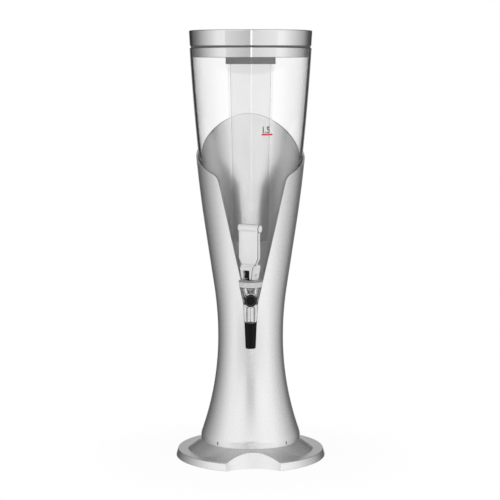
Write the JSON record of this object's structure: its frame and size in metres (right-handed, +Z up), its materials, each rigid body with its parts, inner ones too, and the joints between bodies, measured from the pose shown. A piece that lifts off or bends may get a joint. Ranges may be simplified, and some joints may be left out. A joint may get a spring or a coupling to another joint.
{
  "type": "beer tower dispenser",
  "caption": "Table-top beer tower: clear vessel with an ice tube in a waisted silver column on a round base, with a lever tap at the front.",
  "frame": {"origin": "middle of the base on the table", "axes": "+Z up through the column; the tap points along -Y, with +X to its right as seen from the front"},
  "size_m": [0.18, 0.18, 0.51],
  "materials": {
    "column_silver": "satin silver lacquer",
    "base_silver": "satin silver lacquer",
    "lid_silver": "bright silver plating",
    "clear_vessel": "clear",
    "clear_tap": "clear",
    "frosted": "frosted",
    "grey_plastic": "matt",
    "black_plastic": "glossy",
    "white_plastic": "satin",
    "dark_rubber": "matt",
    "grey_rubber": "matt",
    "bright_steel": "bright"
  },
  "bodies": {
    "stand": {"column_shell": "column_silver", "base_foot": "base_silver", "base_cover": "grey_plastic", "column_screw_1": "bright_steel", "column_screw_2": "bright_steel", "column_screw_3": "bright_steel", "column_screw_4": "bright_steel", "cover_screw_1": "bright_steel", "cover_screw_2": "bright_steel", "cover_screw_3": "bright_steel", "cover_screw_4": "bright_steel", "rubber_foot_1": "dark_rubber", "rubber_foot_2": "dark_rubber", "rubber_foot_3": "dark_rubber", "rubber_foot_4": "dark_rubber"},
    "vessel": {"beer_vessel": "clear_vessel", "tap_body": "clear_tap", "shank_gasket": "dark_rubber", "inner_washer": "dark_rubber", "shank_nut": "white_plastic", "front_plug": "black_plastic", "spout_nozzle": "black_plastic", "bonnet": "frosted", "return_spring": "bright_steel"},
    "stem": {"valve_stem": "white_plastic", "seat_cup": "grey_rubber"},
    "head": {"stem_head": "black_plastic", "lever_pin": "bright_steel"},
    "lever": {"lever": "clear_tap"},
    "lid": {"lid_cap": "lid_silver", "lid_plug": "lid_silver", "lid_seal": "grey_rubber", "tube_collar": "grey_plastic"},
    "ice_tube": {"ice_tube": "frosted"}
  },
  "joints": [
    {"name": "vessel_lift", "type": "slide", "parent": "stand", "child": "vessel", "axis": [0, 0, 1], "range_m": [0, 0.24]},
    {"name": "lid_lift", "type": "slide", "parent": "vessel", "child": "lid", "axis": [0, 0, 1], "range_m": [0, 0.24]},
    {"name": "ice_tube_twist", "type": "hinge", "parent": "lid", "child": "ice_tube", "pos_m": [0, 0, 0.474], "axis": [0, 0, 1], "range_deg": [0, 60]},
    {"name": "stem_lift", "type": "slide", "parent": "vessel", "child": "stem", "axis": [0, 0, 1], "range_m": [0, 0.0031], "deforming": ["return_spring"]},
    {"name": "head_swivel", "type": "hinge", "parent": "stem", "child": "head", "pos_m": [0, -0.076, 0.23], "axis": [0, 0, 1], "range_deg": [-27, 93]},
    {"name": "lever_tilt", "type": "hinge", "parent": "head", "child": "lever", "pos_m": [0, -0.076, 0.23], "axis": [0.8387, -0.5446, 0], "range_deg": [0, 45], "stiffness_Nm_per_rad": 0.0083, "springref_deg": -60.16}
  ],
  "couplings": [
    {"joint": "stem_lift", "follows": "lever_tilt", "m_per_rad": 0.0038197}
  ]
}
